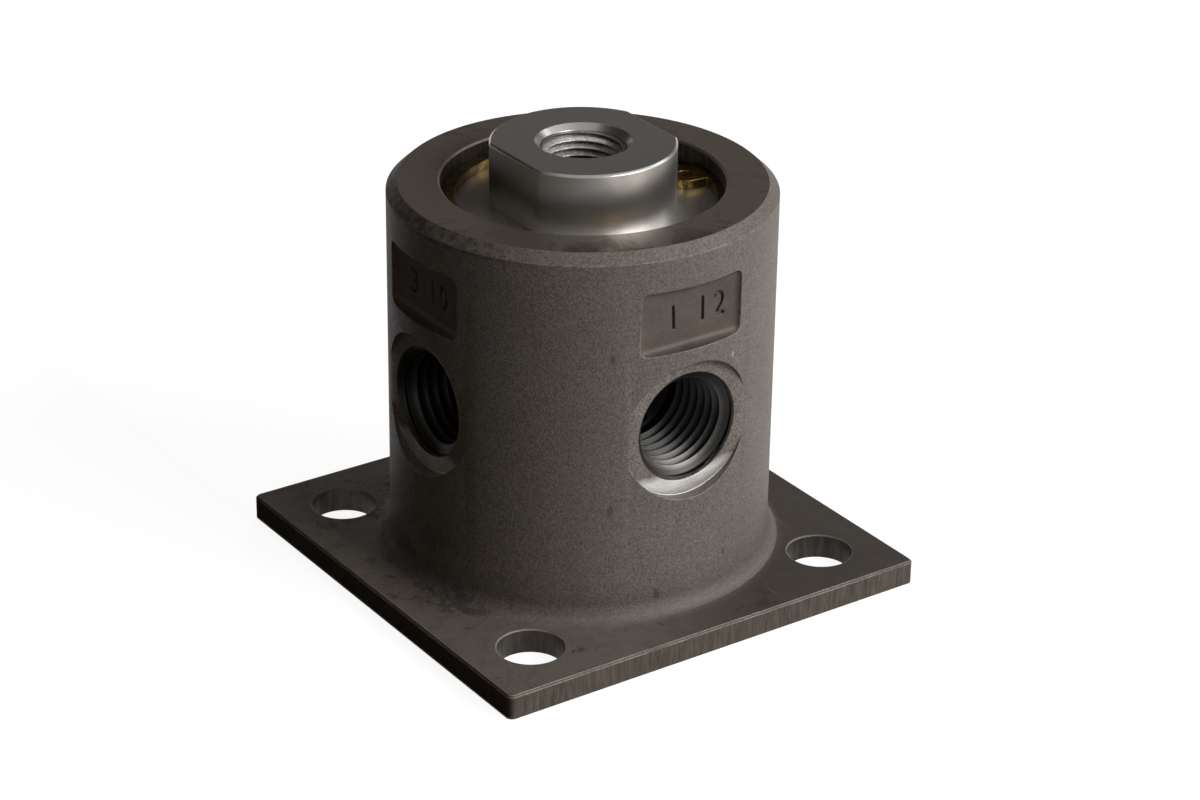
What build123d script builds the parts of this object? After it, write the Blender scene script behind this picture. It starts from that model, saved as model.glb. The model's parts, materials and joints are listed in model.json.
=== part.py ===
"""Air pilot valve: three-way spool valve with a square mounting flange and a pilot port on top.

All lengths are in millimetres. The origin is the centre of the flange's underside and +Z is up.
The normally closed inlet faces -Y, the normally open inlet faces -X and the outlet faces +Y.
Heights add up from the underside: floor, spring, spool tail, seal stack, piston travel, end cap, mouth.
"""
import math
import os

from build123d import *

# Running and seating clearances, each on the radius
RUNNING_FIT = 0.06
SEAT_FIT = 0.02
LOOSE_FIT = 0.3

# Outer body
CHAMBER_DIAMETER = 34.6
BODY_WALL = 6.5
FLANGE_MARGIN = 6.35
FLANGE_THICKNESS = 3.1
FLANGE_CORNER_RADIUS = 0.8
EDGE_BREAK = 0.25
BASE_FILLET = 2.2
TOP_CHAMFER_WIDTH = 1.3
TOP_CHAMFER_HEIGHT = 1.2
MOUTH_HEIGHT = 2.0

# Bolt holes in the flange
BOLT_HOLE_DIAMETER = 8.1
BOLT_HOLE_BREAK = 0.12
BOLT_EDGE_DISTANCE = 8.45

# Side ports, with the bore at the thread's major diameter
PORT_THREAD_DIAMETER = 13.6
PORT_RIM_CHAMFER = 0.2
PORT_DRILL_DIAMETER = 11.1
PORT_DRILL_RUNOUT = 0.8
PORT_TIP_WALL = 1.25
SPOTFACE_DIAMETER = 17.8
SPOTFACE_DEPTH = 1.5
DRILL_POINT_ANGLE = 118.0
PASSAGE_PITCH = 3.2
PASSAGES_PER_PORT = 2

# Recessed label windows above the side ports
WINDOW_WIDTH = 14.7
WINDOW_HEIGHT = 8.1
WINDOW_LIFT = 1.9
WINDOW_WALL = 4.9
WINDOW_CORNER_RADIUS = 1.0
WINDOW_FLOOR_FILLET = 0.9

# Underside breather
FLOOR_THICKNESS = 6.0
VENT_DIAMETER = 2.0
FILTER_DIAMETER = 6.0
FILTER_THICKNESS = 2.0
FILTER_RECESS = 0.2

# Return spring
SPRING_LENGTH = 11.0
SPRING_WIRE = 0.9
SPRING_TURNS = 6.0
SPRING_SIDE_GAP = 0.5

# Spool and its stack of seals and ported spacers
SPOOL_DIAMETER = 9.5
SPOOL_TAIL = 3.18
SPOOL_WAIST_DEPTH = 1.85
SPOOL_VENT_DIAMETER = 2.2
SPOOL_CROSS_HOLE = 1.6
SPIGOT_LENGTH = 2.5
STUD_DIAMETER = 5.0
STROKE = 3.2
LEVEL_PITCH = 3.8
SEAL_COUNT = 4
SEAL_SECTION = 1.6
SEAL_COVER = 0.75
SPACER_WEB = 0.38
SPACER_GROOVE_DEPTH = 0.5
SPACER_HOLES = 8
GUIDE_BUSH_HEIGHT = 1.4
GUIDE_CLIP_THICKNESS = 0.8
GUIDE_CLIP_WIDTH = 1.2
GUIDE_CLIP_DEPTH = 0.45
GUIDE_CLIP_GAP = 40.0
GUIDE_CLIP_LIP = 0.58

# Piston, its fixing and its seal
STOP_GAP = 0.1
PISTON_THICKNESS = 4.2
PISTON_SEAL_SECTION = 2.4
SEAL_SIDE_PLAY = 0.15
WASHER_DIAMETER = 10.0
WASHER_THICKNESS = 0.6
NUT_SIDES = 6
NUT_ACROSS_FLATS = 8.0
NUT_HEIGHT = 2.2
NUT_RECESS_GAP = 0.5

# End cap with the pilot boss
CAP_DISC_THICKNESS = 4.0
CAP_SEAL_SECTION = 2.0
BOSS_DIAMETER = 22.7
BOSS_FLAT_DEPTH = 1.2
BOSS_HEIGHT = 8.1
PILOT_THREAD_DIAMETER = 10.3
PILOT_COUNTERSINK_WIDTH = 0.75
PILOT_DRILL_DIAMETER = 8.7
PILOT_DRILL_LAND = 0.8

# Retaining ring that holds the end cap
RING_THICKNESS = 1.2
RING_GROOVE_DEPTH = 1.0
RING_GROOVE_PLAY = 0.05
RING_RIM_WIDTH = 2.4
RING_ECCENTRICITY = 0.5
RING_LUG_WIDTH = 4.6
RING_LUG_REACH = 3.1
RING_LUG_HOLE = 2.0
RING_LUG_SPREAD = 18.0
RING_GAP_DIRECTION = 12.0

# Directions of the side ports about Z, in degrees
CLOSED_INLET = -90.0
OPEN_INLET = 180.0
OUTLET = 90.0

# Radii that follow from the sizes above
chamber_r = CHAMBER_DIAMETER / 2
body_r = chamber_r + BODY_WALL
flange_width = 2 * (body_r + FLANGE_MARGIN)
bolt_offset = flange_width / 2 - BOLT_EDGE_DISTANCE
spool_r = SPOOL_DIAMETER / 2
seal_bore_r = spool_r + RUNNING_FIT
stack_r = seal_bore_r + SEAL_SECTION + SEAT_FIT
tail_bore_r = spool_r + RUNNING_FIT
spring_mean_r = tail_bore_r - SPRING_SIDE_GAP - SPRING_WIRE / 2
spigot_r = spring_mean_r - SPRING_WIRE / 2 - LOOSE_FIT
ring_groove_r = chamber_r + RING_GROOVE_DEPTH
stud_hole_r = STUD_DIAMETER / 2 + SEAT_FIT
nut_corner_r = NUT_ACROSS_FLATS / 2 / math.cos(math.pi / NUT_SIDES)
nut_recess_r = max(WASHER_DIAMETER / 2, nut_corner_r) + NUT_RECESS_GAP

# Heights that follow, from the underside up
seal_slot = SEAL_SECTION + 2 * SEAT_FIT
spacer_height = LEVEL_PITCH - seal_slot
spool_tail_z = FLOOR_THICKNESS + SPRING_LENGTH
stack_floor_z = spool_tail_z + SPOOL_TAIL
outer_seal_level = (SEAL_COUNT - 1) / 2 * LEVEL_PITCH
port_z = stack_floor_z + seal_slot / 2 + outer_seal_level
stack_top_z = port_z + outer_seal_level + seal_slot / 2
guide_clip_z = stack_top_z + GUIDE_BUSH_HEIGHT
chamber_floor_z = guide_clip_z + GUIDE_CLIP_THICKNESS + GUIDE_CLIP_LIP
piston_z = chamber_floor_z + STOP_GAP + STROKE
piston_top_z = piston_z + PISTON_THICKNESS
cap_z = piston_top_z + STOP_GAP
cap_top_z = cap_z + CAP_DISC_THICKNESS
ring_top_z = cap_top_z + RING_THICKNESS
body_top_z = ring_top_z + MOUTH_HEIGHT
boss_top_z = cap_top_z + BOSS_HEIGHT
nut_z = piston_top_z + WASHER_THICKNESS
stud_top_z = nut_z + NUT_HEIGHT
nut_recess_top_z = stud_top_z + NUT_RECESS_GAP

# Positions along a side port's axis, measured from the body's centre line
drill_slope = math.tan(math.radians(90 - DRILL_POINT_ANGLE / 2))
spotface_x = body_r - SPOTFACE_DEPTH
port_tip_x = stack_r + PORT_TIP_WALL
port_drill_x = port_tip_x + PORT_DRILL_DIAMETER / 2 * drill_slope
port_thread_x = port_drill_x + PORT_DRILL_RUNOUT
window_floor_x = chamber_r + WINDOW_WALL


def turned(outline):
    """Solid turned about Z from an outline of (radius, height) points."""
    return revolve(make_face(Plane.XZ * Polyline(*outline, close=True)), Axis.Z)


def tube(outer_r, inner_r, bottom, height):
    """Plain ring between two radii, standing on a height."""
    top = bottom + height
    return turned([(inner_r, bottom), (outer_r, bottom), (outer_r, top), (inner_r, top)])


def rod(radius, bottom, top):
    """Plain round bar between two heights."""
    return Pos(0, 0, bottom) * Cylinder(radius, top - bottom, align=(Align.CENTER, Align.CENTER, Align.MIN))


def o_ring(inner_r, section, height):
    """Round seal ring lying level at a height."""
    return Pos(0, 0, height) * Torus(inner_r + section / 2, section / 2)


def side_plane(direction, distance, height):
    """Upright plane facing outward, with its x sideways and its y up."""
    turn = math.radians(direction)
    outward = Vector(math.cos(turn), math.sin(turn), 0)
    sideways = Vector(-math.sin(turn), math.cos(turn), 0)
    return Plane(origin=outward * distance + Vector(0, 0, height), x_dir=sideways, z_dir=outward)


def port_cutter(direction):
    """Spotface, thread bore, tap drill and drill point of one side port."""
    thread_r = PORT_THREAD_DIAMETER / 2
    drill_r = PORT_DRILL_DIAMETER / 2
    rim_r = thread_r + PORT_RIM_CHAMFER
    outline = [
        (0, port_tip_x),
        (drill_r, port_drill_x),
        (drill_r, port_thread_x),
        (thread_r, port_thread_x),
        (thread_r, spotface_x - PORT_RIM_CHAMFER),
        (rim_r, spotface_x),
        (SPOTFACE_DIAMETER / 2, spotface_x),
        (SPOTFACE_DIAMETER / 2, body_r + SPOTFACE_DEPTH),
        (0, body_r + SPOTFACE_DEPTH),
    ]
    return side_plane(direction, 0, port_z) * turned(outline)


def passage_cutters(direction, level):
    """Drilled holes from a port's drill point to one level of the spool bore."""
    radius = spacer_height / 2 - SEAT_FIT
    length = port_drill_x - spool_r
    holes = []
    for number in range(PASSAGES_PER_PORT):
        sideways = (number - (PASSAGES_PER_PORT - 1) / 2) * PASSAGE_PITCH
        hole = Cylinder(radius, length, align=(Align.CENTER, Align.CENTER, Align.MIN))
        holes.append(side_plane(direction, spool_r, port_z + level) * Pos(sideways, 0, 0) * hole)
    return holes


def window_cutter(direction):
    """Rounded pocket for the stamped port number, with a filleted floor."""
    centre_z = port_z + SPOTFACE_DIAMETER / 2 + WINDOW_LIFT + WINDOW_HEIGHT / 2
    plane = side_plane(direction, window_floor_x, centre_z)
    outline = RectangleRounded(WINDOW_WIDTH, WINDOW_HEIGHT, WINDOW_CORNER_RADIUS)
    pocket = extrude(outline, body_r + SPOTFACE_DEPTH - window_floor_x)
    floor_edges = pocket.faces().sort_by(Axis.Z)[0].edges()
    return plane * fillet(floor_edges, WINDOW_FLOOR_FILLET)


def body_bore():
    """Everything turned out of the body from the top, down to the breather below."""
    mouth = EDGE_BREAK
    clip_groove_r = stack_r + GUIDE_CLIP_DEPTH + RING_GROOVE_PLAY
    filter_seat_z = FILTER_RECESS + FILTER_THICKNESS
    outline = [
        (0, -1),
        (FILTER_DIAMETER / 2, -1),
        (FILTER_DIAMETER / 2, filter_seat_z),
        (VENT_DIAMETER / 2, filter_seat_z),
        (VENT_DIAMETER / 2, FLOOR_THICKNESS),
        (tail_bore_r, FLOOR_THICKNESS),
        (tail_bore_r, stack_floor_z),
        (stack_r, stack_floor_z),
        (stack_r, guide_clip_z),
        (clip_groove_r, guide_clip_z),
        (clip_groove_r, guide_clip_z + GUIDE_CLIP_THICKNESS + RING_GROOVE_PLAY),
        (stack_r, guide_clip_z + GUIDE_CLIP_THICKNESS + RING_GROOVE_PLAY),
        (stack_r, chamber_floor_z),
        (chamber_r, chamber_floor_z),
        (chamber_r, cap_top_z),
        (ring_groove_r, cap_top_z),
        (ring_groove_r, ring_top_z + RING_GROOVE_PLAY),
        (chamber_r, ring_top_z + RING_GROOVE_PLAY),
        (chamber_r, body_top_z - mouth),
        (chamber_r + mouth, body_top_z),
        (chamber_r + mouth, body_top_z + 1),
        (0, body_top_z + 1),
    ]
    return turned(outline)


def flange():
    """Square plate with its upper edges broken."""
    outline = RectangleRounded(flange_width, flange_width, FLANGE_CORNER_RADIUS)
    plate = extrude(outline, FLANGE_THICKNESS)
    return chamfer(plate.faces().sort_by(Axis.Z)[-1].edges(), EDGE_BREAK)


def column():
    """Round column with a chamfered top and a hollow fillet that runs out into the flange."""
    foot_r = body_r + BASE_FILLET
    fillet_top_z = FLANGE_THICKNESS + BASE_FILLET
    fillet_arc = CenterArc((foot_r, fillet_top_z), BASE_FILLET, 180, 90)
    sides = Polyline(
        (foot_r, FLANGE_THICKNESS),
        (foot_r, 0),
        (0, 0),
        (0, body_top_z),
        (body_r - TOP_CHAMFER_WIDTH, body_top_z),
        (body_r, body_top_z - TOP_CHAMFER_HEIGHT),
        (body_r, fillet_top_z),
    )
    return revolve(make_face(Plane.XZ * (sides + fillet_arc)), Axis.Z)


def bolt_holes():
    """Four through holes with broken upper edges."""
    hole_r = BOLT_HOLE_DIAMETER / 2
    hole = turned([
        (0, -1),
        (hole_r, -1),
        (hole_r, FLANGE_THICKNESS - BOLT_HOLE_BREAK),
        (hole_r + BOLT_HOLE_BREAK, FLANGE_THICKNESS),
        (hole_r + BOLT_HOLE_BREAK, FLANGE_THICKNESS + BASE_FILLET),
        (0, FLANGE_THICKNESS + BASE_FILLET),
    ])
    corners = [(x_side, y_side) for x_side in (-1, 1) for y_side in (-1, 1)]
    return [Pos(x_side * bolt_offset, y_side * bolt_offset, 0) * hole for x_side, y_side in corners]


def valve_body():
    """Cast and machined body, one piece with its flange."""
    body = flange() + column()
    body -= body_bore()
    body -= bolt_holes()
    levels = {CLOSED_INLET: -LEVEL_PITCH, OUTLET: 0, OPEN_INLET: LEVEL_PITCH}
    for direction, level in levels.items():
        body -= port_cutter(direction)
        body -= passage_cutters(direction, level)
        body -= window_cutter(direction)
    return body


def end_cap():
    """Turned cap: sealed disc, boss with two wrench flats and the pilot port through it."""
    disc_r = chamber_r - RUNNING_FIT
    groove_r = chamber_r - SEAT_FIT - CAP_SEAL_SECTION
    groove_half = CAP_SEAL_SECTION / 2 + SEAL_SIDE_PLAY
    groove_z = cap_z + CAP_DISC_THICKNESS / 2
    disc = turned([
        (0, cap_z),
        (disc_r, cap_z),
        (disc_r, groove_z - groove_half),
        (groove_r, groove_z - groove_half),
        (groove_r, groove_z + groove_half),
        (disc_r, groove_z + groove_half),
        (disc_r, cap_top_z),
        (0, cap_top_z),
    ])
    across_flats = BOSS_DIAMETER - 2 * BOSS_FLAT_DEPTH
    flats = Pos(0, 0, cap_z) * Box(across_flats, 2 * BOSS_DIAMETER, 2 * (boss_top_z - cap_z))
    boss = rod(BOSS_DIAMETER / 2, cap_z + CAP_DISC_THICKNESS / 2, boss_top_z) & flats
    boss = chamfer(boss.faces().sort_by(Axis.Z)[-1].edges(), EDGE_BREAK)
    return disc + boss - pilot_bore()


def pilot_bore():
    """Countersunk pilot thread bore, through to the recess over the piston's nut."""
    thread_r = PILOT_THREAD_DIAMETER / 2
    drill_r = PILOT_DRILL_DIAMETER / 2
    thread_z = nut_recess_top_z + PILOT_DRILL_LAND
    outline = [
        (0, cap_z - 1),
        (nut_recess_r, cap_z - 1),
        (nut_recess_r, nut_recess_top_z),
        (drill_r, nut_recess_top_z),
        (drill_r, thread_z),
        (thread_r, thread_z),
        (thread_r, boss_top_z - PILOT_COUNTERSINK_WIDTH),
        (thread_r + PILOT_COUNTERSINK_WIDTH, boss_top_z),
        (thread_r + PILOT_COUNTERSINK_WIDTH, boss_top_z + 1),
        (0, boss_top_z + 1),
    ]
    return turned(outline)


def retaining_ring():
    """Internal snap ring: tapered rim, open gap and two lugs with plier holes."""
    outer_r = ring_groove_r - RING_GROOVE_PLAY
    inner_r = outer_r - RING_RIM_WIDTH
    rim = Circle(outer_r) - Pos(RING_ECCENTRICITY, 0) * Circle(inner_r)
    hole_x = chamber_r - RING_LUG_REACH
    lug_length = chamber_r - hole_x
    lugs = []
    holes = []
    for side in (-1, 1):
        turn = Rot(0, 0, side * RING_LUG_SPREAD)
        lugs.append(turn * Pos(hole_x, 0) * Circle(RING_LUG_WIDTH / 2))
        lugs.append(turn * Pos(hole_x + lug_length / 2, 0) * Rectangle(lug_length, RING_LUG_WIDTH))
        holes.append(turn * Pos(hole_x, 0) * Circle(RING_LUG_HOLE / 2))
    gap_half = math.radians(RING_LUG_SPREAD)
    gap = make_face(Polyline(
        (0, 0),
        (2 * outer_r * math.cos(gap_half), 2 * outer_r * math.sin(gap_half)),
        (2 * outer_r * math.cos(gap_half), -2 * outer_r * math.sin(gap_half)),
        close=True,
    ))
    profile = (rim - gap) + lugs - holes
    ring = extrude(profile, RING_THICKNESS)
    return Pos(0, 0, cap_top_z) * Rot(0, 0, RING_GAP_DIRECTION) * ring


def piston():
    """Turned piston with a seal groove and a clearance hole for the spool's stud."""
    outer_r = chamber_r - RUNNING_FIT
    groove_r = chamber_r - RUNNING_FIT - PISTON_SEAL_SECTION
    groove_half = PISTON_SEAL_SECTION / 2 + SEAL_SIDE_PLAY
    groove_z = piston_z + PISTON_THICKNESS / 2
    return turned([
        (stud_hole_r, piston_z),
        (outer_r, piston_z),
        (outer_r, groove_z - groove_half),
        (groove_r, groove_z - groove_half),
        (groove_r, groove_z + groove_half),
        (outer_r, groove_z + groove_half),
        (outer_r, piston_top_z),
        (stud_hole_r, piston_top_z),
    ])


def spool():
    """Hollow spool with one waist, a spring spigot below and a threaded stud above."""
    waist_z = port_z + STROKE / 2
    waist_half = (LEVEL_PITCH + STROKE) / 2 - SEAL_COVER
    waist_r = spool_r - SPOOL_WAIST_DEPTH
    vent_r = SPOOL_VENT_DIAMETER / 2
    cross_z = piston_z - SPOOL_CROSS_HOLE
    body = turned([
        (0, spool_tail_z - SPIGOT_LENGTH),
        (spigot_r, spool_tail_z - SPIGOT_LENGTH),
        (spigot_r, spool_tail_z),
        (spool_r, spool_tail_z),
        (spool_r, waist_z - waist_half),
        (waist_r, waist_z - waist_half),
        (waist_r, waist_z + waist_half),
        (spool_r, waist_z + waist_half),
        (spool_r, piston_z),
        (STUD_DIAMETER / 2, piston_z),
        (STUD_DIAMETER / 2, stud_top_z),
        (0, stud_top_z),
    ])
    body -= rod(vent_r, spool_tail_z - SPIGOT_LENGTH - 1, cross_z)
    cross_hole = Pos(0, 0, cross_z) * Rot(90, 0, 0) * Cylinder(SPOOL_CROSS_HOLE / 2, 2 * SPOOL_DIAMETER)
    return body - cross_hole


def port_spacer(height):
    """Ring between two seals, with an air groove round it and radial holes."""
    outer_r = stack_r - SEAT_FIT
    inner_r = spool_r + LOOSE_FIT
    groove_r = outer_r - SPACER_GROOVE_DEPTH
    bottom = height - spacer_height / 2
    ring = turned([
        (inner_r, bottom),
        (outer_r, bottom),
        (outer_r, bottom + SPACER_WEB),
        (groove_r, bottom + SPACER_WEB),
        (groove_r, bottom + spacer_height - SPACER_WEB),
        (outer_r, bottom + spacer_height - SPACER_WEB),
        (outer_r, bottom + spacer_height),
        (inner_r, bottom + spacer_height),
    ])
    hole_r = spacer_height / 2 - SPACER_WEB
    for number in range(SPACER_HOLES):
        hole = Cylinder(hole_r, stack_r, align=(Align.CENTER, Align.CENTER, Align.MIN))
        ring -= side_plane(number * 360 / SPACER_HOLES, spool_r, height) * hole
    return ring


def guide_clip():
    """Plain open snap ring that holds the seal stack down."""
    outer_r = stack_r + GUIDE_CLIP_DEPTH
    inner_r = outer_r - GUIDE_CLIP_WIDTH
    gap_half = math.radians(GUIDE_CLIP_GAP / 2)
    reach = 2 * outer_r
    gap = make_face(Polyline(
        (0, 0),
        (reach * math.cos(gap_half), reach * math.sin(gap_half)),
        (reach * math.cos(gap_half), -reach * math.sin(gap_half)),
        close=True,
    ))
    profile = Circle(outer_r) - Circle(inner_r) - gap
    return Pos(0, 0, guide_clip_z) * extrude(profile, GUIDE_CLIP_THICKNESS)


def return_spring():
    """Compression spring with its ends ground flat on the floor and on the spool's tail."""
    path = Helix(pitch=SPRING_LENGTH / SPRING_TURNS, height=SPRING_LENGTH, radius=spring_mean_r)
    start = Plane(origin=path @ 0, z_dir=path % 0)
    wire = sweep(start * Circle(SPRING_WIRE / 2), path=path, is_frenet=True)
    slab = rod(tail_bore_r, 0, SPRING_LENGTH)
    return Pos(0, 0, FLOOR_THICKNESS) * (wire & slab)


def piston_nut():
    """Thin hexagon nut on the spool's stud."""
    hexagon = RegularPolygon(NUT_ACROSS_FLATS / 2, NUT_SIDES, major_radius=False)
    profile = hexagon - Circle(stud_hole_r)
    return Pos(0, 0, nut_z) * extrude(profile, NUT_HEIGHT)


def nodes():
    """Every piece by its name."""
    cap_groove_r = chamber_r - SEAT_FIT - CAP_SEAL_SECTION
    piston_groove_r = chamber_r - RUNNING_FIT - PISTON_SEAL_SECTION
    filter_r = FILTER_DIAMETER / 2 - SEAT_FIT
    pieces = {
        "valve_body": valve_body(),
        "end_cap": end_cap(),
        "end_cap_seal": o_ring(cap_groove_r, CAP_SEAL_SECTION, (cap_z + cap_top_z) / 2),
        "end_cap_retaining_ring": retaining_ring(),
        "piston": piston(),
        "piston_seal": o_ring(piston_groove_r, PISTON_SEAL_SECTION, piston_z + PISTON_THICKNESS / 2),
        "piston_washer": tube(WASHER_DIAMETER / 2, stud_hole_r, piston_top_z, WASHER_THICKNESS),
        "piston_nut": piston_nut(),
        "spool": spool(),
        "guide_bush": tube(stack_r - SEAT_FIT, seal_bore_r, stack_top_z, GUIDE_BUSH_HEIGHT),
        "guide_clip": guide_clip(),
        "return_spring": return_spring(),
        "breather_filter": rod(filter_r, FILTER_RECESS, FILTER_RECESS + FILTER_THICKNESS),
    }
    for number in range(SEAL_COUNT):
        height = port_z - outer_seal_level + number * LEVEL_PITCH
        pieces[f"spool_seal_{number + 1}"] = o_ring(seal_bore_r, SEAL_SECTION, height)
    for name, step in (("closed_inlet", -1), ("outlet", 0), ("open_inlet", 1)):
        pieces[f"{name}_spacer"] = port_spacer(port_z + step * LEVEL_PITCH)
    return pieces


def main():
    os.makedirs("parts", exist_ok=True)
    for name, shape in nodes().items():
        export_step(shape, f"parts/{name}.step")


if __name__ == "__main__":
    main()
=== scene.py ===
import json
import math

import bpy
from mathutils import Matrix, Vector


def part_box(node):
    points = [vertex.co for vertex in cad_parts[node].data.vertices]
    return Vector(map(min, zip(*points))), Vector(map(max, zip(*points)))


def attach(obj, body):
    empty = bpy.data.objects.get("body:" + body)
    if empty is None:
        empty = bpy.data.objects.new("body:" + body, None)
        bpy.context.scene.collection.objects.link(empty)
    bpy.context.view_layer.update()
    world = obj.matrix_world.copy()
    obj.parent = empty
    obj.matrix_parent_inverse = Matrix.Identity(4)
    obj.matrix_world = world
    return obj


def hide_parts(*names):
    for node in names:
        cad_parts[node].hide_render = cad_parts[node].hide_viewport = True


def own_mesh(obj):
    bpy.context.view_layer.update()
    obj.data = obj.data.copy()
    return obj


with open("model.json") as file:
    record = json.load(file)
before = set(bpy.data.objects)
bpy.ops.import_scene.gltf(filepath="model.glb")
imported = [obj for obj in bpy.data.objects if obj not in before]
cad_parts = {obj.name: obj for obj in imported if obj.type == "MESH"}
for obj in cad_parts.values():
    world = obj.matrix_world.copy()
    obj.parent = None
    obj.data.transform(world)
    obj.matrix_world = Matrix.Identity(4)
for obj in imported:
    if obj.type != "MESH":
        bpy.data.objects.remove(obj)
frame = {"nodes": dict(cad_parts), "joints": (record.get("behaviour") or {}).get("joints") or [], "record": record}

bl_info = {
    "name": "Air pilot valve",
    "version": (1, 0, 0),
    "blender": (4, 5, 0),
    "location": "3D View > Sidebar > Pilot Valve",
    "description": "Casting, pipe threads, turned parts and stage of a three-way air pilot valve",
    "category": "Object",
}

NODES = frame["nodes"]
MOUNTS = {mount["name"]: mount for mount in frame["record"]["mounts"]}
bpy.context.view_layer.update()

# Places on the valve, in metres
COLUMN_RADIUS = 0.0238
TOP_CHAMFER_Z = 0.0496
CHAMBER_RADIUS = 0.0173
FLANGE_TOP = 0.0031
SPOTFACE_RADIUS = 0.0089
SPOTFACE_REACH = 0.0223
WINDOW_HALF_WIDTH = 0.00735
WINDOW_BOTTOM = 0.0375
WINDOW_TOP = 0.0456
WINDOW_FLOOR = 0.0222
PORTS = ("normally_closed_inlet", "normally_open_inlet", "outlet")
DARK_MARKS = (
    ((-0.0103, -0.0214, 0.0376), 0.00045), ((-0.0103, -0.0214, 0.0179), 0.0004), ((-0.0046, -0.0233, 0.0056), 0.0006),
    ((0.0054, -0.0232, 0.0085), 0.00035),
)
NICKS = (((0.0060, -0.0230, 0.0349), 0.0003),)
FRONT_ASIDE = (0.823, -0.567)


def millimetres(name, description, default):
    """A length property, kept in metres."""
    return bpy.props.FloatProperty(
        name=name, description=description, default=default / 1000, precision=5, subtype="DISTANCE", unit="LENGTH"
    )


def colour(name, description, default):
    """A colour property."""
    return bpy.props.FloatVectorProperty(
        name=name, description=description, default=default, size=3, min=0, max=1, subtype="COLOR"
    )


class StampSizes(bpy.types.PropertyGroup):
    digit_height: millimetres("Digit height", "Height of a stamped port number", 3.05)
    digit_depth: millimetres("Digit depth", "How deep a number is stamped", 0.32)
    digit_width: bpy.props.FloatProperty(name="Digit width", description="Width of a digit against its drawn width", default=0.84)
    digit_weight: millimetres("Digit weight", "How far a stroke is thickened on each side", 0.02)


class ThreadSizes(bpy.types.PropertyGroup):
    side_pitch: millimetres("Side pitch", "Pitch of the side ports' pipe thread", 1.411)
    side_depth: millimetres("Side depth", "Depth of the side ports' thread form", 1.05)
    pilot_pitch: millimetres("Pilot pitch", "Pitch of the pilot port's pipe thread", 0.941)
    pilot_depth: millimetres("Pilot depth", "Depth of the pilot port's thread form", 0.70)
    taper: bpy.props.FloatProperty(name="Taper", description="Loss of diameter along the thread", default=1 / 16)
    mouth_slope: bpy.props.FloatProperty(name="Mouth slope", description="Fall of the countersink that breaks the first crests", default=1.1)
    wall_gap: millimetres("Wall gap", "Clearance between the thread's outer wall and its bore", 0.01)
    steps: bpy.props.IntProperty(name="Steps", description="Steps in one turn of a thread", default=96)


class FinishColours(bpy.types.PropertyGroup):
    casting: colour("Casting", "Bead-blasted aluminium", (0.132, 0.116, 0.103))
    casting_dark: colour("Casting, dark grains", "Shaded side of the blasted grain", (0.066, 0.056, 0.049))
    casting_light: colour("Casting, light grains", "Bright side of the blasted grain", (0.228, 0.208, 0.190))
    # Handling marks; the same colour is also painted shade on the left parts of the casting's chamfer, the flange face
    # and the flange edge
    grime_and_shade: colour("Grime", "Handling marks", (0.030, 0.026, 0.023))
    machined: colour("Machined casting", "Turned and bored faces of the body", (0.192, 0.161, 0.134))
    # Clean-cut metal of the crescent, made bright as a painted highlight
    spotface_cut_and_highlight: colour("Spotface", "Bright crescent below each side port", (0.640, 0.625, 0.605))
    tapped: colour("Tapped aluminium", "Threads of the side ports", (0.150, 0.147, 0.141))
    recess: colour("Recess", "As-cast floor of the label windows", (0.095, 0.078, 0.066))
    zinc: colour("Zinc plate", "Clear zinc plating on turned steel", (0.700, 0.690, 0.670))
    yellow_zinc: colour("Yellow zinc", "Yellow passivated spring steel", (0.215, 0.130, 0.037))
    rubber: colour("Rubber", "Nitrile rubber", (0.018, 0.018, 0.019))
    brass: colour("Brass", "Turned brass", (0.560, 0.400, 0.170))
    anodised: colour("Hard anodising", "Anodised spool", (0.070, 0.068, 0.072))
    bronze: colour("Bronze", "Sintered bronze filter", (0.300, 0.190, 0.090))
    wire: colour("Spring wire", "Drawn spring steel", (0.230, 0.220, 0.210))


class StageSettings(bpy.types.PropertyGroup):
    lens: bpy.props.FloatProperty(name="Lens", description="Focal length in millimetres", default=99.548)
    distance: millimetres("Distance", "Distance of the camera from the valve's axis, on the floor", 371.11)
    height: millimetres("Height", "Height of the camera above the floor", 202.43)
    turn: bpy.props.FloatProperty(name="Turn", description="Direction of the camera about the axis", default=0.60363, subtype="ANGLE", unit="ROTATION")
    aside: bpy.props.FloatProperty(name="Aside", description="How far the camera looks past the axis", default=0.00659, subtype="ANGLE", unit="ROTATION")
    tilt: bpy.props.FloatProperty(name="Tilt", description="How far the camera looks down", default=-0.45461, subtype="ANGLE", unit="ROTATION")
    roll: bpy.props.FloatProperty(name="Roll", description="How far the camera leans", default=0.01512, subtype="ANGLE", unit="ROTATION")
    floor: colour("Floor", "Pale floor", (0.20, 0.20, 0.20))
    floor_glow: bpy.props.FloatProperty(name="Floor glow", description="How white the floor looks by itself", default=0.92)
    flag: colour("Flag", "Dark cloth of the panels round the stage", (0.020, 0.013, 0.007))
    key_power: bpy.props.FloatProperty(name="Key power", description="Power of the key light", default=7.1, unit="POWER")
    fill_power: bpy.props.FloatProperty(name="Fill power", description="Power of the warm fill light", default=0.12, unit="POWER")
    walls: colour("Walls", "Dim warm light from the studio's walls", (0.055, 0.038, 0.023))
    mirror_share: bpy.props.FloatProperty(name="Mirror share", description="How white the background is in reflections", default=0.5)
    side_power: bpy.props.FloatProperty(name="Side power", description="Power of the soft light on the right", default=1.8, unit="POWER")
    back_power: bpy.props.FloatProperty(name="Back power", description="Power of the low light behind", default=3.0, unit="POWER")


GROUPS = {"valve_stamp": StampSizes, "valve_threads": ThreadSizes, "valve_colours": FinishColours, "valve_stage": StageSettings}


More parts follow.
